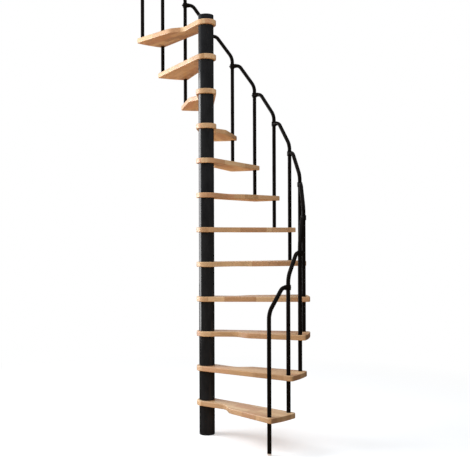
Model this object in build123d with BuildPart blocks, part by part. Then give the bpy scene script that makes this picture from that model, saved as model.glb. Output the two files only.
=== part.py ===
from build123d import *
import os
from math import acos, atan2, cos, hypot, radians, sin, sqrt

os.makedirs("parts", exist_ok=True)

# Flight: the step height and the turn from step to step place every piece
tread_count = 12
riser = 210.0
step_turn = 15.84
first_post_angle = -54.5
fit_clearance = 0.3

# Centre column: sleeves threaded on a core, with a tread clamped between each two
column_diameter = 94.0
core_diameter = 48.0
sleeve_edge = 1.0
top_sleeve_length = 26.0
cap_thickness = 8.0
cap_edge = 3.0

# Treads: a round hub, one straight side, one waved side with a waist and a shoulder, and a bowed end
tread_thickness = 30.0
hub_diameter = 124.0
waist_reach = 190.0
waist_offset = 28.0
shoulder_length = 80.0
shoulder_offset = 84.0
tread_reach = 626.0
waist_radius = 65.0
shoulder_radius = 90.0
corner_radius = 20.0
tread_edge = 4.0

# Balusters: each stands on one tread, passes through the next and bends over as the rail
tube_diameter = 24.0
post_setback = 38.0
post_side_margin = 28.0
joint_height = 685.0
slope_rise = 154.0
slope_end_share = 0.69
slope_bend_radius = 100.0
level_bend_radius = 45.0
top_post_rise = 42.0
top_post_dome = 10.0

# The lowest balusters bend later than the rest, and the first rail joint sits a little higher
low_slope_count = 2
low_slope_rise = 132.0
first_joint_raise = 20.0

# Foot under the first baluster, on the floor
foot_height = 10.0
foot_edge = 2.0

# Rail joints: a ring on the post, a socket for the rail end and a nut on the far side
ring_diameter = 32.0
ring_height = 30.0
ring_edge = 1.5
socket_diameter = 28.0
socket_reach = 28.0
socket_floor = 2.4
nut_diameter = 12.0
nut_reach = 22.0
nut_dome = 4.0

# Sizes that follow from the ones above
tube_radius = tube_diameter / 2
bore_radius = tube_radius + fit_clearance
core_bore_radius = core_diameter / 2 + fit_clearance
column_height = tread_count * riser + top_sleeve_length
post_count = tread_count + 1
post_circle_radius = tread_reach - post_setback
post_span = 2 * post_circle_radius * sin(radians(step_turn / 2))
end_width = post_span + 2 * post_side_margin
rail_stop = bore_radius + socket_floor


def post_angle(number):
    """Direction of a baluster round the column, in degrees."""
    return first_post_angle + (number - 1) * step_turn


def post_place(number, level):
    """Point on a baluster's axis at a height."""
    turn = radians(post_angle(number))
    return Vector(post_circle_radius * cos(turn), post_circle_radius * sin(turn), level)


def joint_level(number):
    """Height of the rail joint on a baluster."""
    raised = first_joint_raise if number == 2 else 0
    return (number - 1) * riser + joint_height + raised


def hub_touch(reach, offset):
    """Point of the hub's circle where a line to a point of the outline touches it."""
    turn = atan2(offset, reach) + acos(hub_diameter / 2 / hypot(reach, offset))
    return Vector(hub_diameter / 2 * cos(turn), hub_diameter / 2 * sin(turn))


def rail_plane(number):
    """Upright plane from a baluster to the next one: x along the rail, y up."""
    foot = post_place(number, 0)
    along = (post_place(number + 1, 0) - foot).normalized()
    return Plane(origin=foot, x_dir=along, z_dir=along.cross(Vector(0, 0, 1)))


# Core that the sleeves and treads are threaded on
with BuildPart() as column_core:
    with BuildSketch():
        Circle(core_diameter / 2)
    extrude(amount=column_height)
column_core.part.label = "column_core"
export_step(column_core.part, "parts/column_core.step")

# Sleeves between the treads, from the floor to the stub over the last tread
for number in range(1, tread_count + 2):
    name = f"column_sleeve_{number:02d}"
    sleeve_length = riser - tread_thickness if number <= tread_count else top_sleeve_length
    with BuildPart() as sleeve:
        with BuildSketch(Plane.XY.offset((number - 1) * riser)):
            Circle(column_diameter / 2)
            Circle(core_bore_radius, mode=Mode.SUBTRACT)
        extrude(amount=sleeve_length)
        rims = sleeve.edges().filter_by(GeomType.CIRCLE).group_by(SortBy.RADIUS)[-1]
        chamfer(rims, length=sleeve_edge)
    sleeve.part.label = name
    export_step(sleeve.part, f"parts/{name}.step")

# Cap that closes the column
with BuildPart() as column_cap:
    with BuildSketch(Plane.XY.offset(column_height)):
        Circle(column_diameter / 2)
    extrude(amount=cap_thickness)
    fillet(column_cap.faces().sort_by(Axis.Z)[-1].edges(), radius=cap_edge)
column_cap.part.label = "column_cap"
export_step(column_cap.part, "parts/column_cap.step")

# Treads: one board for all, turned over on every second step so that its waved side changes sides
hub_radius = hub_diameter / 2
shoulder_reach = waist_reach + shoulder_length
end_corner = sqrt(tread_reach**2 - (end_width / 2) ** 2)
wave_touch = hub_touch(waist_reach, waist_offset)
straight_touch = hub_touch(end_corner, end_width / 2)
for number in range(1, tread_count + 1):
    name = f"tread_{number:02d}"
    tread_turn = post_angle(number) + step_turn / 2
    underside = Plane.XY.offset(number * riser - tread_thickness).rotated((0, 0, tread_turn))
    wave_side = -1 if number % 2 else 1
    with BuildPart() as tread:
        with BuildSketch(underside) as outline:
            with BuildLine():
                waved_edge = Polyline(
                    (wave_touch.X, wave_side * wave_touch.Y),
                    (waist_reach, wave_side * waist_offset),
                    (shoulder_reach, wave_side * shoulder_offset),
                    (end_corner, wave_side * end_width / 2),
                )
                straight_edge = Line(
                    (end_corner, -wave_side * end_width / 2),
                    (straight_touch.X, -wave_side * straight_touch.Y),
                )
                ThreePointArc(waved_edge @ 1, (tread_reach, 0), straight_edge @ 0)
                ThreePointArc(straight_edge @ 1, (-hub_radius, 0), waved_edge @ 0)
            make_face()
            fillet(outline.vertices().group_by(Axis.X)[4], radius=corner_radius)
            fillet(outline.vertices().group_by(Axis.X)[3], radius=shoulder_radius)
            fillet(outline.vertices().group_by(Axis.X)[2], radius=waist_radius)
        extrude(amount=tread_thickness)
        fillet(tread.faces().filter_by(Axis.Z).edges(), radius=tread_edge)
        with BuildSketch(underside):
            Circle(core_bore_radius)
            with PolarLocations(post_circle_radius, 1, start_angle=-step_turn / 2):
                Circle(bore_radius)
        extrude(amount=tread_thickness, mode=Mode.SUBTRACT)
    tread.part.label = name
    export_step(tread.part, f"parts/{name}.step")

# Balusters: upright from the foot, bent over to a slope and levelled into the next rail joint
for number in range(1, post_count):
    name = f"baluster_{number:02d}"
    foot_level = foot_height if number == 1 else (number - 1) * riser
    rail_level = joint_level(number + 1)
    rise = low_slope_rise if number <= low_slope_count else slope_rise
    with BuildPart() as baluster:
        with BuildLine(rail_plane(number)) as path:
            FilletPolyline(
                (0, foot_level),
                (0, rail_level - rise),
                (slope_end_share * post_span, rail_level),
                (post_span - rail_stop, rail_level),
                radius=(slope_bend_radius, level_bend_radius),
            )
        with BuildSketch(Plane(origin=path.line @ 0, z_dir=path.line % 0)):
            Circle(tube_radius)
        sweep(path=path.line)
    baluster.part.label = name
    export_step(baluster.part, f"parts/{name}.step")

# Last baluster: upright, closed by a domed end above its rail joint
top_post_length = joint_level(post_count) + top_post_rise - tread_count * riser
with BuildPart() as top_baluster:
    with BuildSketch(Plane(origin=post_place(post_count, tread_count * riser))):
        Circle(tube_radius)
    extrude(amount=top_post_length)
    fillet(top_baluster.faces().sort_by(Axis.Z)[-1].edges(), radius=top_post_dome)
top_baluster.part.label = f"baluster_{post_count:02d}"
export_step(top_baluster.part, f"parts/baluster_{post_count:02d}.step")

# Foot that the first baluster stands on
with BuildPart() as baluster_foot:
    with BuildSketch(Plane(origin=post_place(1, 0))):
        Circle(tube_radius)
    extrude(amount=foot_height)
    fillet(baluster_foot.faces().sort_by(Axis.Z)[0].edges(), radius=foot_edge)
baluster_foot.part.label = "baluster_foot"
export_step(baluster_foot.part, "parts/baluster_foot.step")

# One rail joint about its post, with the rail coming in along x
with BuildPart() as rail_joint:
    Cylinder(ring_diameter / 2, ring_height)
    fillet(rail_joint.edges().filter_by(GeomType.CIRCLE), radius=ring_edge)
    with BuildSketch(Plane.YZ):
        Circle(socket_diameter / 2)
    extrude(amount=-socket_reach)
    with BuildSketch(Plane.YZ):
        Circle(nut_diameter / 2)
    extrude(amount=nut_reach)
    fillet(rail_joint.faces().sort_by(Axis.X)[-1].edges(), radius=nut_dome)
    Cylinder(bore_radius, ring_height, mode=Mode.SUBTRACT)
    with BuildSketch(Plane.YZ.offset(-rail_stop)):
        Circle(bore_radius)
    extrude(amount=rail_stop - socket_reach, mode=Mode.SUBTRACT)

# The joints, one on every baluster but the first
joint_places = []
for number in range(2, post_count + 1):
    along = rail_plane(number - 1).x_dir
    joint_places.append(Plane(origin=post_place(number, joint_level(number)), x_dir=along, z_dir=(0, 0, 1)))
with BuildPart() as rail_joints:
    with Locations(*joint_places):
        add(rail_joint.part)
rail_joints.part.label = "rail_joints"
export_step(rail_joints.part, "parts/rail_joints.step")
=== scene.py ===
"""Spiral staircase with beech treads, a black column and bent tube balusters, dressed around its frame."""
from math import acos, atan2, ceil, cos, hypot, pi, radians, sin, sqrt, tan

import bmesh
import bpy
from bpy.props import FloatProperty, FloatVectorProperty, IntProperty, PointerProperty
from mathutils import Matrix, Vector


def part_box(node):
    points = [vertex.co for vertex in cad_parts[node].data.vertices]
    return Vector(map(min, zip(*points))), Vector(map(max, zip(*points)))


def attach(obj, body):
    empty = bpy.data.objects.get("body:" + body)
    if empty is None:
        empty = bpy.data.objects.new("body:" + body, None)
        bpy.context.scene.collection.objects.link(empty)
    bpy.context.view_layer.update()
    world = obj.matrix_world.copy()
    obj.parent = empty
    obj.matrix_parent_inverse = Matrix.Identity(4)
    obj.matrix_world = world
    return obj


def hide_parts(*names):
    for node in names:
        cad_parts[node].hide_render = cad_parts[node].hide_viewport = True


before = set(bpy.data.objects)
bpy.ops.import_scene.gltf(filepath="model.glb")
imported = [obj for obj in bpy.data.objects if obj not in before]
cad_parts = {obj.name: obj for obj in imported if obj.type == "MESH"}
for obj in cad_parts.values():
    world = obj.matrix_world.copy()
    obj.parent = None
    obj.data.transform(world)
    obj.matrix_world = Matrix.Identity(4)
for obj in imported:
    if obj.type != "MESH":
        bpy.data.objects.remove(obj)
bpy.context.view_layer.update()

bl_info = {
    "name": "Spiral Staircase",
    "version": (1, 0, 0),
    "blender": (4, 5, 0),
    "location": "View3D > Sidebar > Staircase",
    "description": "Treads, column, balusters, fixings and stage of a wooden spiral staircase",
    "category": "Object",
}

# Room round a piece in its bore, and the angle from which an edge is shaded sharp
fit_clearance = 0.0003
sharp_angle = radians(40)


def numbered(stem):
    """Names of the numbered nodes of one kind, in order."""
    return sorted(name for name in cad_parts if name.startswith(stem) and name[len(stem):].isdigit())


def middle(node):
    """Middle of a node's box."""
    low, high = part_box(node)
    return (low + high) / 2


def top(node):
    """Height of a node's upper side."""
    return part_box(node)[1].z


def extent(node):
    """Size of a node's box."""
    low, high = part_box(node)
    return high - low


# Steps, turn and posts as the frame has them
tread_nodes = numbered("tread_")
sleeve_nodes = numbered("column_sleeve_")
baluster_nodes = numbered("baluster_")
first_post = middle("baluster_foot")
last_post = middle(baluster_nodes[-1])
first_turn = atan2(first_post.y, first_post.x)
turn_to_last = atan2(last_post.y, last_post.x) - first_turn


class StairFlight(bpy.types.PropertyGroup):
    """Steps and turn that place every piece."""

    step_count: IntProperty(name="Steps", description="Number of treads", default=len(tread_nodes), min=2)
    riser: FloatProperty(
        name="Riser", description="Height from one tread to the next", unit="LENGTH",
        default=top(tread_nodes[1]) - top(tread_nodes[0]),
    )
    step_turn: FloatProperty(
        name="Step Turn", description="Turn from one step to the next", subtype="ANGLE",
        default=turn_to_last / len(tread_nodes),
    )
    first_turn: FloatProperty(
        name="First Turn", description="Direction of the first baluster", subtype="ANGLE", default=first_turn,
    )
    post_circle: FloatProperty(
        name="Post Circle", description="Radius of the circle that the balusters stand on", unit="LENGTH",
        default=hypot(first_post.x, first_post.y),
    )


class StairTread(bpy.types.PropertyGroup):
    """Outline of a tread, with its hub at the column."""

    thickness: FloatProperty(
        name="Thickness", description="Thickness of a tread", unit="LENGTH", default=extent(tread_nodes[0]).z,
    )
    hub_diameter: FloatProperty(
        name="Hub", description="Diameter of the round hub", unit="LENGTH", default=0.124,
    )
    waist_reach: FloatProperty(
        name="Waist Reach", description="From the axis to the waist of the waved side", unit="LENGTH",
        default=0.190,
    )
    waist_offset: FloatProperty(
        name="Waist Offset", description="From the middle line to the waist", unit="LENGTH", default=0.028,
    )
    shoulder_length: FloatProperty(
        name="Shoulder Length", description="From the waist to the shoulder", unit="LENGTH", default=0.080,
    )
    shoulder_offset: FloatProperty(
        name="Shoulder Offset", description="From the middle line to the shoulder", unit="LENGTH",
        default=0.084,
    )
    end_margin: FloatProperty(
        name="End Margin", description="From a baluster's axis to the side of the tread", unit="LENGTH",
        default=0.028,
    )
    end_setback: FloatProperty(
        name="End Setback", description="From a baluster's axis to the bowed end", unit="LENGTH",
        default=0.038,
    )
    waist_radius: FloatProperty(
        name="Waist Radius", description="Curve of the waist", unit="LENGTH", default=0.065,
    )
    shoulder_radius: FloatProperty(
        name="Shoulder Radius", description="Curve of the shoulder", unit="LENGTH", default=0.090,
    )
    corner_radius: FloatProperty(
        name="Corner Radius", description="Curves of the outer corners", unit="LENGTH", default=0.020,
    )
    edge_radius: FloatProperty(
        name="Edge Radius", description="Rounding of the upper and lower edges", unit="LENGTH", default=0.004,
    )


class StairColumn(bpy.types.PropertyGroup):
    """Sleeves of the column."""

    diameter: FloatProperty(
        name="Diameter", description="Diameter of the column", unit="LENGTH",
        default=extent(sleeve_nodes[0]).x,
    )
    bore: FloatProperty(
        name="Bore", description="Diameter of the hole for the core", unit="LENGTH",
        default=extent("column_core").x + 2 * fit_clearance,
    )
    edge: FloatProperty(
        name="Edge", description="Chamfer on the ends of a sleeve", unit="LENGTH", default=0.001,
    )


class StairRail(bpy.types.PropertyGroup):
    """Balusters that bend over into the handrail."""

    tube_diameter: FloatProperty(
        name="Tube", description="Diameter of a baluster", unit="LENGTH", default=extent("baluster_foot").x,
    )
    joint_height: FloatProperty(
        name="Joint Height", description="From a baluster's tread to its rail joint", unit="LENGTH",
        default=0.685,
    )
    first_joint_raise: FloatProperty(
        name="First Joint Raise", description="How much higher the first joint sits", unit="LENGTH",
        default=0.020,
    )
    slope_rise: FloatProperty(
        name="Slope Rise", description="Height of the slope before a joint", unit="LENGTH", default=0.154,
    )
    low_slope_rise: FloatProperty(
        name="Low Slope Rise", description="The same on the lowest balusters", unit="LENGTH", default=0.132,
    )
    low_slope_count: IntProperty(name="Low Slopes", description="Balusters with the lower slope", default=2)
    slope_end: FloatProperty(
        name="Slope End", description="Share of the way to the next baluster where the rail is level",
        subtype="FACTOR", default=0.69, min=0, max=1,
    )
    slope_bend: FloatProperty(
        name="Slope Bend", description="Bend from upright to slope", unit="LENGTH", default=0.100,
    )
    level_bend: FloatProperty(
        name="Level Bend", description="Bend from slope to level", unit="LENGTH", default=0.045,
    )
    rail_stop: FloatProperty(
        name="Rail Stop", description="From the next baluster's axis to the rail's end", unit="LENGTH",
        default=0.0147,
    )
    dome: FloatProperty(
        name="Dome", description="Rounding of the last baluster's end", unit="LENGTH", default=0.010,
    )


class StairFinish(bpy.types.PropertyGroup):
    """Colours and pattern sizes of the finishes."""

    beech: FloatVectorProperty(
        name="Beech", description="Usual colour of the staves", subtype="COLOR", size=3, min=0, max=1,
        default=(0.590, 0.378, 0.200),
    )
    beech_pale: FloatVectorProperty(
        name="Pale Beech", description="Colour of the palest staves", subtype="COLOR", size=3, min=0, max=1,
        default=(0.760, 0.545, 0.320),
    )
    beech_rosy: FloatVectorProperty(
        name="Rosy Beech", description="Colour of the reddest staves", subtype="COLOR", size=3, min=0, max=1,
        default=(0.560, 0.302, 0.165),
    )
    beech_brown: FloatVectorProperty(
        name="Brown Beech", description="Colour of the darkest staves", subtype="COLOR", size=3, min=0, max=1,
        default=(0.420, 0.258, 0.118),
    )
    varnish_gloss: FloatProperty(
        name="Varnish Gloss", description="Strength of the varnish's reflections", subtype="FACTOR",
        default=0.64, min=0, max=1,
    )
    stave_width: FloatProperty(
        name="Stave Width", description="Width of a glued stave", unit="LENGTH", default=0.038,
    )
    stave_length: FloatProperty(
        name="Stave Length", description="Length of a glued stave", unit="LENGTH", default=0.190,
    )
    paint: FloatVectorProperty(
        name="Paint", description="Colour of the column", subtype="COLOR", size=3, min=0, max=1,
        default=(0.0155, 0.0170, 0.0192),
    )
    paint_roughness: FloatProperty(
        name="Paint Roughness", description="Roughness of the column", subtype="FACTOR",
        default=0.12, min=0, max=1,
    )
    paint_gloss: FloatProperty(
        name="Paint Gloss", description="Strength of the column's reflections", subtype="FACTOR",
        default=0.17, min=0, max=1,
    )
    tube_paint: FloatVectorProperty(
        name="Tube Paint", description="Colour of the balusters", subtype="COLOR", size=3, min=0, max=1,
        default=(0.006, 0.005, 0.0045),
    )
    tube_roughness: FloatProperty(
        name="Tube Roughness", description="Roughness of the balusters", subtype="FACTOR",
        default=0.22, min=0, max=1,
    )
    tube_gloss: FloatProperty(
        name="Tube Gloss", description="Strength of the balusters' reflections", subtype="FACTOR",
        default=0.04, min=0, max=1,
    )
    foot: FloatVectorProperty(
        name="Foot", description="Colour of the first baluster's foot", subtype="COLOR", size=3, min=0, max=1,
        default=(0.75, 0.74, 0.73),
    )
    floor: FloatVectorProperty(
        name="Floor", description="Colour of the floor", subtype="COLOR", size=3, min=0, max=1,
        default=(0.77, 0.80, 0.83),
    )
    floor_bounce: FloatVectorProperty(
        name="Floor Bounce", description="Colour of the light that the floor sends back up", subtype="COLOR",
        size=3, min=0, max=1, default=(0.90, 0.62, 0.40),
    )
    seed: IntProperty(name="Seed", description="Choice of staves on the treads", default=19)


class StairStage(bpy.types.PropertyGroup):
    """Camera and light."""

    camera_distance: FloatProperty(
        name="Distance", description="From the column to the camera", unit="LENGTH", default=4.7866,
    )
    camera_height: FloatProperty(
        name="Height", description="Height of the camera", unit="LENGTH", default=1.1977,
    )
    camera_roll: FloatProperty(
        name="Roll", description="Turn of the camera about its view", subtype="ANGLE",
        default=radians(-0.195),
    )
    lens: FloatProperty(name="Lens", description="Focal length in millimetres", default=60.04)
    shift: FloatVectorProperty(
        name="Shift", description="Shift of the frame, in widths", size=2, default=(0.0605, 0.0054),
    )
    ambient: FloatProperty(name="Ambient", description="Strength of the light from all round", default=0.34)
    window_power: FloatProperty(
        name="Window", description="Power of the window that the paint and the varnish mirror", default=170.0,
    )
    key_power: FloatProperty(name="Key", description="Power of the high light on the left", default=128.0)
    front_power: FloatProperty(name="Front", description="Power of the light in front", default=43.0)
    low_power: FloatProperty(name="Low", description="Power of the warm light from the floor", default=36.0)
    ceiling_power: FloatProperty(name="Ceiling", description="Power of the light overhead", default=45.0)


class StairSettings(bpy.types.PropertyGroup):
    """All settings of the staircase."""

    flight: PointerProperty(type=StairFlight)
    tread: PointerProperty(type=StairTread)
    column: PointerProperty(type=StairColumn)
    rail: PointerProperty(type=StairRail)
    finish: PointerProperty(type=StairFinish)
    stage: PointerProperty(type=StairStage)


def add(tree, kind, inputs=(), **settings):
    """Adds a node. Inputs are pairs of a socket's name or number and a value or another node's output."""
    node = tree.nodes.new(kind)
    for name, value in settings.items():
        setattr(node, name, value)
    for socket, value in dict(inputs).items():
        if isinstance(value, bpy.types.NodeSocket):
            tree.links.new(value, node.inputs[socket])
        else:
            node.inputs[socket].default_value = value
    return node


def maths(tree, operation, *values):
    """Result of a math node on values or outputs."""
    return add(tree, "ShaderNodeMath", enumerate(values), operation=operation).outputs[0]


def ranged(tree, value, low, high, to_low, to_high):
    """A value mapped from one range to another and held inside it."""
    spans = {"Value": value, "From Min": low, "From Max": high, "To Min": to_low, "To Max": to_high}
    return add(tree, "ShaderNodeMapRange", spans).outputs["Result"]


def spread(tree, noise, to_low, to_high):
    """Noise mapped from the range that it mostly keeps to, to another one."""
    usual_low, usual_high = 0.3, 0.7
    return ranged(tree, noise, usual_low, usual_high, to_low, to_high)


def scaled(tree, colour, amount):
    """A colour times an amount."""
    return add(tree, "ShaderNodeVectorMath", {0: colour, "Scale": amount}, operation="SCALE").outputs[0]


def stretched_noise(tree, place, stretch, detail, roughness):
    """Noise on a place that is scaled by its own amount each way."""
    drawn = add(tree, "ShaderNodeVectorMath", {0: place, 1: stretch}, operation="MULTIPLY").outputs[0]
    settings = {"Vector": drawn, "Scale": 1.0, "Detail": detail, "Roughness": roughness}
    return add(tree, "ShaderNodeTexNoise", settings).outputs["Fac"]


def new_finish(name):
    """An empty material and its node tree, ready for a shader."""
    material = bpy.data.materials.new(name)
    material.use_nodes = True
    material.node_tree.nodes.clear()
    return material, material.node_tree


def show(tree, shader):
    """Ends a material in a shader."""
    add(tree, "ShaderNodeOutputMaterial", {"Surface": shader})


def show_surface(tree, inputs):
    """Ends a material in a solid surface."""
    show(tree, add(tree, "ShaderNodeBsdfPrincipled", inputs).outputs[0])


def beech_finish(finish):
    """Varnished beech: glued staves of mixed tints, with grain, flecks and darker end grain."""
    made = bpy.data.materials.get("beech_staves")
    if made:
        return made
    material, tree = new_finish("beech_staves")
    board = add(tree, "ShaderNodeAttribute", attribute_name="board").outputs["Vector"]
    shift = add(tree, "ShaderNodeAttribute", attribute_name="step_shift").outputs["Vector"]
    end = add(tree, "ShaderNodeAttribute", attribute_name="end_grain").outputs["Fac"]
    board_part = add(tree, "ShaderNodeSeparateXYZ", {0: board}).outputs
    shift_part = add(tree, "ShaderNodeSeparateXYZ", {0: shift}).outputs

    # Rows of staves across the board, each row cut to lengths that start at random
    rows_apart, ends_apart, tints_apart = 9.0, 5.0, 37.0
    across = maths(tree, "MULTIPLY_ADD", shift_part["Y"], rows_apart,
                   maths(tree, "DIVIDE", board_part["Y"], finish.stave_width))
    row = maths(tree, "FLOOR", across)
    row_shift = maths(tree, "MULTIPLY", shift_part["X"], tints_apart)
    row_key = add(tree, "ShaderNodeCombineXYZ", {"X": row, "Y": row_shift}).outputs[0]
    row_chance = add(tree, "ShaderNodeTexWhiteNoise", {"Vector": row_key}).outputs["Value"]
    along = maths(tree, "MULTIPLY_ADD", row_chance, ends_apart,
                  maths(tree, "DIVIDE", board_part["X"], finish.stave_length))
    block = maths(tree, "FLOOR", along)
    stave_shift = maths(tree, "MULTIPLY", shift_part["Z"], tints_apart)
    stave_key = add(tree, "ShaderNodeCombineXYZ", {"X": row, "Y": block, "Z": stave_shift}).outputs[0]
    stave = add(tree, "ShaderNodeTexWhiteNoise", {"Vector": stave_key}).outputs

    # Tint of each stave
    tint = add(tree, "ShaderNodeValToRGB", {"Fac": stave["Value"]})
    stops = ((0.0, finish.beech_brown), (0.22, finish.beech_rosy), (0.45, finish.beech), (0.68, finish.beech),
             (0.94, finish.beech_pale))
    elements = tint.color_ramp.elements
    for number, (place, colour) in enumerate(stops):
        stop = elements[number] if number < len(elements) else elements.new(place)
        stop.position = place
        stop.color = (*colour, 1)

    # Grain runs on along a stave and breaks off at its joints
    stave_place = add(tree, "ShaderNodeVectorMath", {0: stave["Color"], 1: board}, operation="ADD").outputs[0]
    streaks = stretched_noise(tree, stave_place, (7.0, 260.0, 260.0), 5.0, 0.62)
    figure = stretched_noise(tree, stave_place, (2.4, 42.0, 42.0), 3.0, 0.5)
    flecks = stretched_noise(tree, stave_place, (70.0, 620.0, 620.0), 1.0, 0.5)
    pores = stretched_noise(tree, stave_place, (60.0, 900.0, 900.0), 2.0, 0.5)
    light = maths(tree, "MULTIPLY", spread(tree, streaks, 0.88, 1.09), spread(tree, figure, 0.90, 1.08))
    light = maths(tree, "MULTIPLY", light, ranged(tree, flecks, 0.58, 0.70, 1.0, 0.86))

    # Thin dark glue lines between the staves
    side_line, end_line, glue_light = 0.012, 0.0022, 0.80
    for place, line in ((across, side_line), (along, end_line)):
        offset = maths(tree, "ABSOLUTE", maths(tree, "SUBTRACT", maths(tree, "FRACT", place), 0.5))
        light = maths(tree, "MULTIPLY", light, ranged(tree, offset, 0.5 - line, 0.5, 1.0, glue_light))

    # End faces of the staves are darker, with open pores
    end_start, end_full = 0.55, 0.92
    end_share = ranged(tree, end, end_start, end_full, 0.0, 1.0)
    end_light = ranged(tree, pores, 0.35, 0.65, 0.40, 0.56)
    light = add(tree, "ShaderNodeMix", {"Factor": end_share, "A": light, "B": end_light}).outputs["Result"]
    bump = add(tree, "ShaderNodeBump", {"Strength": 0.12, "Distance": 0.0004, "Height": streaks})
    show_surface(tree, {
        "Base Color": scaled(tree, tint.outputs["Color"], light),
        "Roughness": spread(tree, figure, 0.42, 0.53),
        "Normal": bump.outputs[0], "Specular IOR Level": finish.varnish_gloss,
    })
    return material


def black_finish(name, colour, roughness, gloss):
    """Black paint with a fine orange peel, as glossy as it is asked to be."""
    made = bpy.data.materials.get(name)
    if made:
        return made
    material, tree = new_finish(name)
    place = add(tree, "ShaderNodeTexCoord").outputs["Object"]
    peel = stretched_noise(tree, place, (700.0, 700.0, 700.0), 2.0, 0.5)
    rub = stretched_noise(tree, place, (26.0, 26.0, 9.0), 4.0, 0.6)
    bump = add(tree, "ShaderNodeBump", {"Strength": 0.03, "Distance": 0.0001, "Height": peel})
    show_surface(tree, {
        "Base Color": scaled(tree, colour, spread(tree, rub, 0.75, 1.35)),
        "Roughness": spread(tree, rub, 0.9 * roughness, 1.1 * roughness),
        "Normal": bump.outputs[0], "Specular IOR Level": gloss,
    })
    return material


def column_paint(finish):
    """Satin paint of the column, which mirrors the window along its left side."""
    return black_finish("black_satin_paint", finish.paint, finish.paint_roughness, finish.paint_gloss)


def tube_paint(finish):
    """Matt paint of the balusters and the rail joints."""
    return black_finish("black_matt_paint", finish.tube_paint, finish.tube_roughness, finish.tube_gloss)


def foot_finish(finish):
    """Pale moulded plastic with a fine grain."""
    material, tree = new_finish("pale_plastic")
    place = add(tree, "ShaderNodeTexCoord").outputs["Object"]
    grain = stretched_noise(tree, place, (900.0, 900.0, 900.0), 2.0, 0.5)
    soil = stretched_noise(tree, place, (90.0, 90.0, 160.0), 4.0, 0.6)
    bump = add(tree, "ShaderNodeBump", {"Strength": 0.10, "Distance": 0.0002, "Height": grain})
    show_surface(tree, {
        "Base Color": scaled(tree, finish.foot, spread(tree, soil, 0.88, 1.04)),
        "Roughness": spread(tree, soil, 0.45, 0.60), "Normal": bump.outputs[0],
    })
    return material


def seen_share(tree):
    """One for rays that show the stage itself, nought for rays that only carry its light."""
    path = add(tree, "ShaderNodeLightPath").outputs
    mirrored = maths(tree, "MAXIMUM", path["Is Glossy Ray"], path["Is Transmission Ray"])
    return maths(tree, "MAXIMUM", path["Is Camera Ray"], mirrored)


def floor_finish(finish):
    """Pale floor that keeps shadows near the stair and fades to white further out."""
    material, tree = new_finish("pale_floor")
    seen = seen_share(tree)
    place = add(tree, "ShaderNodeTexCoord").outputs["Object"]
    reach = add(tree, "ShaderNodeVectorMath", {0: place}, operation="LENGTH").outputs["Value"]
    cloud = stretched_noise(tree, place, (3.0, 3.0, 3.0), 3.0, 0.5)
    tone = add(tree, "ShaderNodeMix", {"Factor": seen, 6: (*finish.floor_bounce, 1), 7: (*finish.floor, 1)},
               data_type="RGBA").outputs[2]
    colour = scaled(tree, tone, spread(tree, cloud, 0.985, 1.0))
    lift, clear_reach, white_reach = 0.42, 1.2, 3.2
    matt = add(tree, "ShaderNodeBsdfDiffuse", {"Color": colour}).outputs[0]
    glow = add(tree, "ShaderNodeEmission", {"Strength": maths(tree, "MULTIPLY", seen, lift)}).outputs[0]
    near = add(tree, "ShaderNodeAddShader", {0: matt, 1: glow}).outputs[0]
    far = add(tree, "ShaderNodeEmission", {"Strength": 1.0}).outputs[0]
    fade = maths(tree, "MULTIPLY", seen, ranged(tree, reach, clear_reach, white_reach, 0.0, 1.0))
    show(tree, add(tree, "ShaderNodeMixShader", {0: fade, 1: near, 2: far}).outputs[0])
    material.cycles.emission_sampling = "NONE"
    return material


def arc(centre, radius, start, end, step=radians(7.5)):
    """Points along an arc, both ends among them."""
    count = max(2, ceil(abs(end - start) / step))
    turns = (start + (end - start) * number / count for number in range(count + 1))
    return [centre + radius * Vector((cos(turn), sin(turn))) for turn in turns]


def bend(before, corner, after, radius):
    """Arc that rounds the corner between two straight runs."""
    back, on = (before - corner).normalized(), (after - corner).normalized()
    half = acos(back.dot(on)) / 2
    centre = corner + (back + on).normalized() * radius / sin(half)
    leave = corner + back * radius / tan(half) - centre
    join = corner + on * radius / tan(half) - centre
    start = atan2(leave.y, leave.x)
    swing = (atan2(join.y, join.x) - start + pi) % (2 * pi) - pi
    return arc(centre, radius, start, start + swing)


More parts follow.
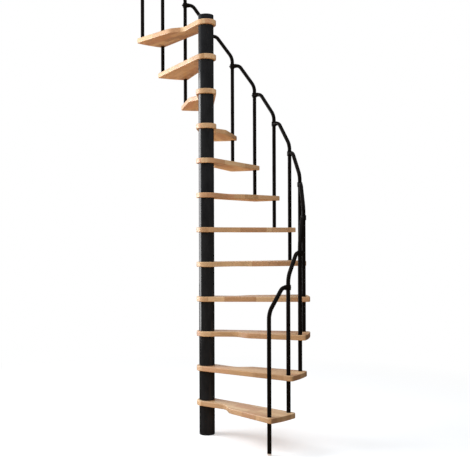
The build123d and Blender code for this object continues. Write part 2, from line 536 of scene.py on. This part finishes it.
def tread_outline(flight, tread, wave_side):
    """Outline of a tread from above, clockwise from the back of its hub, with its bowed end at +x.

    The wave side is 1 where the waved side is at +y, and -1 where the board is turned over.
    """
    axis, hub = Vector((0, 0)), tread.hub_diameter / 2
    reach = flight.post_circle + tread.end_setback
    half_end = flight.post_circle * sin(flight.step_turn / 2) + tread.end_margin
    waist = Vector((tread.waist_reach, tread.waist_offset))
    shoulder = Vector((tread.waist_reach + tread.shoulder_length, tread.shoulder_offset))
    end = Vector((sqrt(reach**2 - half_end**2), half_end))

    def touch_turn(point):
        """Direction in which a line to a point touches the hub."""
        return atan2(point.y, point.x) + acos(hub / point.length)

    def outer_corner(before):
        """Arc from a side of the tread to its bowed end, and the direction in which it ends."""
        side = (end - before).normalized()
        inward = Vector((side.y, -side.x))
        start = before + inward * tread.corner_radius
        along, inner_reach = start.dot(side), reach - tread.corner_radius
        centre = start + side * (sqrt(along**2 - start.length_squared + inner_reach**2) - along)
        turn = atan2(centre.y, centre.x)
        return arc(centre, tread.corner_radius, atan2(-inward.y, -inward.x), turn), turn

    waved = arc(axis, hub, pi, touch_turn(waist))
    waved += bend(waved[-1], waist, shoulder, tread.waist_radius)
    waved += bend(waist, shoulder, end, tread.shoulder_radius)
    waved_corner, waved_turn = outer_corner(shoulder)
    straight = arc(axis, hub, pi, touch_turn(end))
    straight_corner, straight_turn = outer_corner(straight[-1])
    straight = [Vector((point.x, -point.y)) for point in reversed(straight + straight_corner)]
    whole = waved + waved_corner + arc(axis, reach, waved_turn, -straight_turn, radians(1)) + straight
    if wave_side < 0:
        whole = [Vector((point.x, -point.y)) for point in reversed(whole)]
    same = 1e-6
    return [point for point, last in zip(whole, whole[-1:] + whole) if (point - last).length > same]


def skin(bm, lower, upper):
    """Faces between two closed rings of points."""
    for here, after in zip(range(-1, len(lower)), range(len(lower))):
        bm.faces.new((lower[here], lower[after], upper[after], upper[here]))


def ring_edges(bm, ring):
    """Edges round a closed ring of points."""
    return [bm.edges.get((ring[here - 1], ring[here])) for here in range(len(ring))]


def turned(bm, profile, sides, centre=(0, 0)):
    """Turns a profile of (radius, height) points about an upright axis."""
    turns = [2 * pi * number / sides for number in range(sides)]
    rings = [[bm.verts.new((centre[0] + radius * cos(t), centre[1] + radius * sin(t), level)) for t in turns]
             for radius, level in profile]
    for lower, upper in zip(rings, rings[1:]):
        skin(bm, lower, upper)
    return rings


def blank(name, bm):
    """Ends a bmesh in an object that the geometry nodes copy."""
    bmesh.ops.recalc_face_normals(bm, faces=bm.faces[:])
    mesh = bpy.data.meshes.new(name)
    bm.to_mesh(mesh)
    bm.free()
    mesh.shade_smooth()
    mesh.set_sharp_from_angle(angle=sharp_angle)
    made = bpy.data.objects.new(name, mesh)
    bpy.context.scene.collection.objects.link(made)
    return made


def tread_blank(stair, wave_side):
    """One tread about the column's axis, its underside at nought, with its bores and rounded edges."""
    flight, tread = stair.flight, stair.tread
    outline = tread_outline(flight, tread, wave_side)
    inward = []
    for here in range(len(outline)):
        along = outline[(here + 1) % len(outline)] - outline[here - 1]
        inward.append(Vector((along.y, -along.x)).normalized())
    edge, hold, thickness = tread.edge_radius, tread.edge_radius / 6, tread.thickness
    quarter = arc(Vector((edge, edge)), edge, -pi / 2, -pi, step=radians(22.5))
    profile = [(edge + hold, 0)] + [(point.x, point.y) for point in quarter] + [(0, edge + hold)]
    profile += [(inset, thickness - level) for inset, level in reversed(profile)]

    bm = bmesh.new()
    rings = [[bm.verts.new((*(point + side * inset), level)) for point, side in zip(outline, inward)]
             for inset, level in profile]
    for lower, upper in zip(rings, rings[1:]):
        skin(bm, lower, upper)
    post_turn = -flight.step_turn / 2
    post = (flight.post_circle * cos(post_turn), flight.post_circle * sin(post_turn))
    core_hole, post_hole = stair.column.bore / 2, stair.rail.tube_diameter / 2 + fit_clearance
    bores = [turned(bm, [(core_hole, 0), (core_hole, thickness)], sides=48),
             turned(bm, [(post_hole, 0), (post_hole, thickness)], sides=24, centre=post)]
    for level, ring in ((0, rings[0]), (1, rings[-1])):
        rims = ring_edges(bm, ring) + [rim for bore in bores for rim in ring_edges(bm, bore[level])]
        bmesh.ops.triangle_fill(bm, use_beauty=True, edges=rims)

    made = blank("tread_blank", bm)
    mesh = made.data
    board = mesh.attributes.new("board", "FLOAT_VECTOR", "POINT")
    end_grain = mesh.attributes.new("end_grain", "FLOAT", "FACE")
    for vertex in mesh.vertices:
        board.data[vertex.index].vector = vertex.co
    # The hub's end faces are darkened less than the bowed end
    hub_share = 0.6
    for face in mesh.polygons:
        share = 1 if face.center.x > tread.hub_diameter else hub_share
        end_grain.data[face.index].value = share * abs(face.normal.x)
    return made


def new_tree(name, inputs):
    """A geometry tree with its named inputs, and the outputs of its group input."""
    tree = bpy.data.node_groups.new(name, "GeometryNodeTree")
    tree.interface.new_socket("Geometry", in_out="INPUT", socket_type="NodeSocketGeometry")
    for label, kind in inputs:
        tree.interface.new_socket(label, in_out="INPUT", socket_type=f"NodeSocket{kind}")
    tree.interface.new_socket("Geometry", in_out="OUTPUT", socket_type="NodeSocketGeometry")
    return tree, add(tree, "NodeGroupInput").outputs


def end_tree(tree, geometry, material):
    """Ends a tree in real geometry with its material."""
    real = add(tree, "GeometryNodeRealizeInstances", {"Geometry": geometry}).outputs[0]
    dressed = add(tree, "GeometryNodeSetMaterial", {"Geometry": real, "Material": material}).outputs[0]
    add(tree, "NodeGroupOutput", {"Geometry": dressed})


def flight_tree():
    """Tree that copies a blank up the flight, one to a step, each with a random shift of its pattern."""
    made = bpy.data.node_groups.get("Up the Flight")
    if made:
        return made
    tree, given = new_tree("Up the Flight", (
        ("Blank", "Object"), ("Count", "Int"), ("First Level", "Float"), ("Riser", "Float"),
        ("First Turn", "Float"), ("Step Turn", "Float"), ("Seed", "Int"), ("Finish", "Material"),
    ))
    start = add(tree, "ShaderNodeCombineXYZ", {"Z": given["First Level"]}).outputs[0]
    climb = add(tree, "ShaderNodeCombineXYZ", {"Z": given["Riser"]}).outputs[0]
    line = {"Count": given["Count"], "Start Location": start, "Offset": climb}
    steps = add(tree, "GeometryNodeMeshLine", line).outputs[0]
    index = add(tree, "GeometryNodeInputIndex").outputs[0]
    turn = maths(tree, "MULTIPLY_ADD", index, given["Step Turn"], given["First Turn"])
    euler = add(tree, "ShaderNodeCombineXYZ", {"Z": turn}).outputs[0]
    rotation = add(tree, "FunctionNodeEulerToRotation", {"Euler": euler}).outputs[0]
    copied = add(tree, "GeometryNodeObjectInfo", {"Object": given["Blank"], "As Instance": True})
    placed = add(tree, "GeometryNodeInstanceOnPoints", {
        "Points": steps, "Instance": copied.outputs["Geometry"], "Rotation": rotation,
    }).outputs[0]
    draw = {"ID": index, "Seed": given["Seed"]}
    shift = add(tree, "FunctionNodeRandomValue", draw, data_type="FLOAT_VECTOR").outputs[0]
    note = {"Geometry": placed, "Name": "step_shift", "Value": shift}
    kept = add(tree, "GeometryNodeStoreNamedAttribute", note, data_type="FLOAT_VECTOR", domain="INSTANCE")
    end_tree(tree, kept.outputs[0], given["Finish"])
    return tree


def tube_tree():
    """Tree that bends lines at their corners and draws them out as tubes."""
    tree, given = new_tree("Bent Tubes", (
        ("Tube Radius", "Float"), ("Sides", "Int"), ("Bend Steps", "Int"), ("Finish", "Material"),
    ))
    lines = add(tree, "GeometryNodeMeshToCurve", {"Mesh": given["Geometry"]}).outputs[0]
    bends = add(tree, "GeometryNodeInputNamedAttribute", {"Name": "bend"}, data_type="FLOAT").outputs[0]
    girth = add(tree, "GeometryNodeInputNamedAttribute", {"Name": "girth"}, data_type="FLOAT").outputs[0]
    corners = {"Curve": lines, "Radius": bends, "Count": given["Bend Steps"]}
    bent = add(tree, "GeometryNodeFilletCurve", corners, mode="POLY").outputs[0]
    round_tube = add(tree, "GeometryNodeCurvePrimitiveCircle",
                     {"Resolution": given["Sides"], "Radius": given["Tube Radius"]}).outputs[0]
    tubes = add(tree, "GeometryNodeCurveToMesh", {
        "Curve": bent, "Profile Curve": round_tube, "Scale": girth, "Fill Caps": True,
    }).outputs[0]
    end_tree(tree, tubes, given["Finish"])
    return tree


def grown(name, mesh, tree, values, *blanks):
    """Runs a tree on a mesh with its inputs set, and ends in a plain mesh. Removes the blanks it copied."""
    piece = bpy.data.objects.new(name, mesh)
    bpy.context.scene.collection.objects.link(piece)
    nodes = piece.modifiers.new(name, "NODES")
    nodes.node_group = tree
    for socket in tree.interface.items_tree:
        if socket.in_out == "INPUT" and socket.name in values:
            nodes[socket.identifier] = values[socket.name]
    bpy.context.view_layer.update()
    seen = piece.evaluated_get(bpy.context.evaluated_depsgraph_get())
    plain = bpy.data.meshes.new_from_object(seen)
    piece.modifiers.clear()
    piece.data = plain
    plain.name = name
    plain.set_sharp_from_angle(angle=sharp_angle)
    for used in blanks:
        bpy.data.objects.remove(used)
    if not plain.polygons:
        raise RuntimeError(f"{name} came out empty")
    return piece


def dark_screen(radius, height, start, end, sides=72):
    """Dark cloth all over the floor and up on an arc, which only mirrored rays meet."""
    inner, outer, lift, turn = 0.06, 16.0, 0.0002, 2 * pi / sides
    bm = bmesh.new()
    rows = [[bm.verts.new((reach * cos(n * turn), reach * sin(n * turn), level)) for n in range(sides)]
            for reach, level in ((inner, lift), (outer, lift), (radius, lift), (radius, height))]
    skin(bm, rows[0], rows[1])
    for here in range(round(start / turn), round(end / turn)):
        bm.faces.new((rows[2][here], rows[2][here + 1], rows[3][here + 1], rows[3][here]))
    mesh = bpy.data.meshes.new("dark_screen")
    bm.to_mesh(mesh)
    bm.free()
    material, tree = new_finish("dark_cloth")
    show(tree, add(tree, "ShaderNodeBsdfDiffuse", {"Color": (0.02, 0.02, 0.02, 1)}).outputs[0])
    mesh.materials.append(material)
    screen = bpy.data.objects.new("dark_screen", mesh)
    screen.visible_camera = screen.visible_diffuse = False
    screen.visible_shadow = screen.visible_transmission = False
    return screen


def floor_plane(finish):
    """Floor just under the stair's foot."""
    half, below = 40.0, -0.0005
    mesh = bpy.data.meshes.new("floor")
    corners = [(x * half, y * half, below) for x, y in ((-1, -1), (1, -1), (1, 1), (-1, 1))]
    mesh.from_pydata(corners, [], [(0, 1, 2, 3)])
    mesh.materials.append(floor_finish(finish))
    return bpy.data.objects.new("floor", mesh)


def studio_world(ambient):
    """Even light from all round that shows as plain white."""
    world = bpy.data.worlds.new("studio")
    world.use_nodes = True
    tree = world.node_tree
    tree.nodes.clear()
    white = (1, 1, 1, 1)
    around = add(tree, "ShaderNodeBackground", {"Color": white, "Strength": ambient}).outputs[0]
    backdrop = add(tree, "ShaderNodeBackground", {"Color": white, "Strength": 1.0}).outputs[0]
    shown = add(tree, "ShaderNodeMixShader", {0: seen_share(tree), 1: around, 2: backdrop}).outputs[0]
    add(tree, "ShaderNodeOutputWorld", {"Surface": shown})
    world.cycles.sampling_method = "NONE"
    return world


def panel_light(name, place, target, size, power, colour=(1, 1, 1)):
    """A soft light of a given size, turned to a target."""
    light = bpy.data.lights.new(name, "AREA")
    light.shape = "RECTANGLE"
    light.size, light.size_y = size
    light.energy, light.color = power, colour
    lamp = bpy.data.objects.new(name, light)
    lamp.location = place
    lamp.rotation_euler = (Vector(target) - Vector(place)).to_track_quat("-Z", "Y").to_euler()
    return lamp


def level_camera(stage):
    """Level camera in front of the stair, with the photograph's shift and slight roll."""
    data = bpy.data.cameras.new("camera")
    data.lens, data.sensor_width = stage.lens, 36.0
    data.shift_x, data.shift_y = stage.shift
    camera = bpy.data.objects.new("camera", data)
    level = Matrix.Rotation(pi / 2, 4, "X") @ Matrix.Rotation(stage.camera_roll, 4, "Z")
    camera.matrix_world = Matrix.Translation((0, -stage.camera_distance, stage.camera_height)) @ level
    return camera


class STAIR_OT_treads(bpy.types.Operator):
    """Beech treads up the flight"""

    bl_idname = "stair.treads"
    bl_label = "Add Treads"

    def execute(self, context):
        stair = context.scene.stair
        flight, finish = stair.flight, stair.finish
        # The waved side is at the front of the odd treads and at the back of the even ones
        for first, name, wave_side in ((0, "odd_treads", -1), (1, "even_treads", 1)):
            nodes = tread_nodes[first::2]
            one = tread_blank(stair, wave_side)
            treads = grown(name, bpy.data.meshes.new(name), flight_tree(), {
                "Blank": one, "Count": len(nodes),
                "First Level": (first + 1) * flight.riser - stair.tread.thickness, "Riser": 2 * flight.riser,
                "First Turn": flight.first_turn + (first + 0.5) * flight.step_turn,
                "Step Turn": 2 * flight.step_turn,
                "Seed": finish.seed + first, "Finish": beech_finish(finish),
            }, one)
            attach(treads, "root")
            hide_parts(*nodes)
        return {"FINISHED"}


class STAIR_OT_column(bpy.types.Operator):
    """Column sleeves between the treads, with the stub and cap on top"""

    bl_idname = "stair.column"
    bl_label = "Add Column"

    def execute(self, context):
        stair = context.scene.stair
        flight, column, paint = stair.flight, stair.column, column_paint(stair.finish)
        radius, edge, bore = column.diameter / 2, column.edge, column.bore / 2

        def sleeve(name, low, length):
            """A chamfered sleeve with its bore."""
            bm = bmesh.new()
            high = low + length
            profile = [(bore, low), (radius - edge, low), (radius, low + edge),
                       (radius, high - edge), (radius - edge, high), (bore, high), (bore, low)]
            turned(bm, profile, sides=96)
            bmesh.ops.remove_doubles(bm, verts=bm.verts[:], dist=edge / 100)
            return blank(name, bm)

        one = sleeve("sleeve_blank", 0, flight.riser - stair.tread.thickness)
        sleeves = grown("column_sleeves", bpy.data.meshes.new("column_sleeves"), flight_tree(), {
            "Blank": one, "Count": flight.step_count, "First Level": 0.0, "Riser": flight.riser,
            "First Turn": 0.0, "Step Turn": 0.0, "Seed": stair.finish.seed, "Finish": paint,
        }, one)
        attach(sleeves, "root")
        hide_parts(*sleeve_nodes[:-1])

        stub_node = sleeve_nodes[-1]
        stub = sleeve("column_stub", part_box(stub_node)[0].z, extent(stub_node).z)
        stub.data.materials.append(paint)
        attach(stub, "root")
        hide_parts(stub_node)
        for node in ("column_core", "column_cap"):
            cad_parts[node].material_slots[0].material = paint
        return {"FINISHED"}


class STAIR_OT_balusters(bpy.types.Operator):
    """Balusters that stand on one tread, pass through the next and bend over as the handrail"""

    bl_idname = "stair.balusters"
    bl_label = "Add Balusters"

    def execute(self, context):
        stair = context.scene.stair
        flight, rail = stair.flight, stair.rail
        radius = rail.tube_diameter / 2
        span = 2 * flight.post_circle * sin(flight.step_turn / 2)

        def post(number):
            """Place of a baluster on the floor plan."""
            turn = flight.first_turn + (number - 1) * flight.step_turn
            return Vector((flight.post_circle * cos(turn), flight.post_circle * sin(turn), 0))

        def joint_level(number):
            """Height of the rail joint on a baluster."""
            raised = rail.first_joint_raise if number == 2 else 0
            return (number - 1) * flight.riser + rail.joint_height + raised

        points, runs, bends, girths = [], [], [], []

        def draw(line):
            """Adds a line of (place, bend, girth) points."""
            first = len(points)
            for place, bend_radius, girth in line:
                points.append(place)
                bends.append(bend_radius)
                girths.append(girth)
            runs.extend((here, here + 1) for here in range(first, len(points) - 1))

        for number in range(1, flight.step_count + 1):
            foot, along = post(number), (post(number + 1) - post(number)).normalized()
            low = top("baluster_foot") if number == 1 else (number - 1) * flight.riser
            level = joint_level(number + 1)
            rise = rail.low_slope_rise if number <= rail.low_slope_count else rail.slope_rise
            corners = ((0, low, 0), (0, level - rise, rail.slope_bend),
                       (rail.slope_end * span, level, rail.level_bend), (span - rail.rail_stop, level, 0))
            draw([(foot + along * x + Vector((0, 0, z)), bend_radius, 1) for x, z, bend_radius in corners])

        # The last baluster is upright, and its end is rounded to a dome
        last = post(flight.step_count + 1)
        high, dome, dome_steps = top(baluster_nodes[-1]), rail.dome, 6
        line = [(last + Vector((0, 0, flight.step_count * flight.riser)), 0, 1)]
        for number in range(dome_steps + 1):
            turn = number / dome_steps * pi / 2
            level = high - dome + dome * sin(turn)
            line.append((last + Vector((0, 0, level)), 0, (radius - dome + dome * cos(turn)) / radius))
        draw(line)

        mesh = bpy.data.meshes.new("balusters")
        mesh.from_pydata(points, runs, [])
        for label, values in (("bend", bends), ("girth", girths)):
            mesh.attributes.new(label, "FLOAT", "POINT").data.foreach_set("value", values)
        balusters = grown("balusters", mesh, tube_tree(), {
            "Tube Radius": radius, "Sides": 32, "Bend Steps": 14, "Finish": tube_paint(stair.finish),
        })
        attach(balusters, "root")
        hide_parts(*baluster_nodes)
        return {"FINISHED"}


class STAIR_OT_fixings(bpy.types.Operator):
    """Finishes of the rail joints and of the first baluster's foot"""

    bl_idname = "stair.fixings"
    bl_label = "Finish Fixings"

    def execute(self, context):
        finish = context.scene.stair.finish
        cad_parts["rail_joints"].material_slots[0].material = tube_paint(finish)
        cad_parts["baluster_foot"].material_slots[0].material = foot_finish(finish)
        return {"FINISHED"}


class STAIR_OT_stage(bpy.types.Operator):
    """Pale floor, soft light and the camera"""

    bl_idname = "stair.stage"
    bl_label = "Set Stage"

    def execute(self, context):
        scene, stair = context.scene, context.scene.stair
        stage = stair.stage
        scene.view_settings.view_transform = "Standard"
        scene.world = studio_world(stage.ambient)

        floor = floor_plane(stair.finish)
        scene.collection.objects.link(floor)

        # Dark screen round the front and the right, seen only as a reflection in the paint
        screen = dark_screen(radius=5.6, height=7.0, start=radians(-166), end=radians(80))
        scene.collection.objects.link(screen)

        # The window is there to be mirrored, and the other lights only to light
        window = panel_light(
            "window_light", place=(-2.80, 1.00, 1.53), target=(0, 0, 1.53), size=(2.00, 2.56),
            power=stage.window_power,
        )
        window.visible_diffuse = False
        plain_lights = (
            panel_light("key_light", place=(-3.0, 0.2, 3.0), target=(0, 0, 1.3), size=(2.2, 1.8),
                        power=stage.key_power),
            panel_light("front_light", place=(1.2, -3.2, 3.0), target=(0, 0, 1.7), size=(2.0, 2.0),
                        power=stage.front_power),
            panel_light("low_light", place=(0, 1.7, 0.02), target=(0, 1.7, 2.0), size=(4.0, 2.4),
                        power=stage.low_power, colour=(1.0, 0.74, 0.48)),
            panel_light("ceiling_light", place=(0.6, -1.0, 5.2), target=(0, 0, 1.0), size=(3.0, 3.0),
                        power=stage.ceiling_power),
        )
        for lamp in plain_lights:
            lamp.visible_glossy = lamp.visible_camera = False
        for lamp in (window, *plain_lights):
            scene.collection.objects.link(lamp)

        scene.camera = level_camera(stage)
        scene.collection.objects.link(scene.camera)
        return {"FINISHED"}


class STAIR_PT_panel(bpy.types.Panel):
    """Sidebar panel with the staircase's operators and sizes"""

    bl_label = "Spiral Staircase"
    bl_idname = "STAIR_PT_panel"
    bl_space_type = "VIEW_3D"
    bl_region_type = "UI"
    bl_category = "Staircase"

    def draw(self, context):
        layout, stair = self.layout, context.scene.stair
        for operator in operators:
            layout.operator(operator.bl_idname)
        for group in ("flight", "tread", "column", "rail", "finish", "stage"):
            box = layout.box()
            box.label(text=group.title())
            settings = getattr(stair, group)
            for name in settings.__annotations__:
                box.prop(settings, name)


groups = (StairFlight, StairTread, StairColumn, StairRail, StairFinish, StairStage, StairSettings)
operators = (STAIR_OT_treads, STAIR_OT_column, STAIR_OT_balusters, STAIR_OT_fixings, STAIR_OT_stage)


def register():
    """Registers the classes and the scene's settings."""
    for made in (*groups, *operators, STAIR_PT_panel):
        bpy.utils.register_class(made)
    bpy.types.Scene.stair = PointerProperty(type=StairSettings)


def unregister():
    """Removes the settings and the classes."""
    del bpy.types.Scene.stair
    for made in reversed((*groups, *operators, STAIR_PT_panel)):
        bpy.utils.unregister_class(made)


def main():
    """Builds the staircase on its frame."""
    register()
    bpy.ops.stair.treads()
    bpy.ops.stair.column()
    bpy.ops.stair.balusters()
    bpy.ops.stair.fixings()
    bpy.ops.stair.stage()


if __name__ == "__main__":
    main()
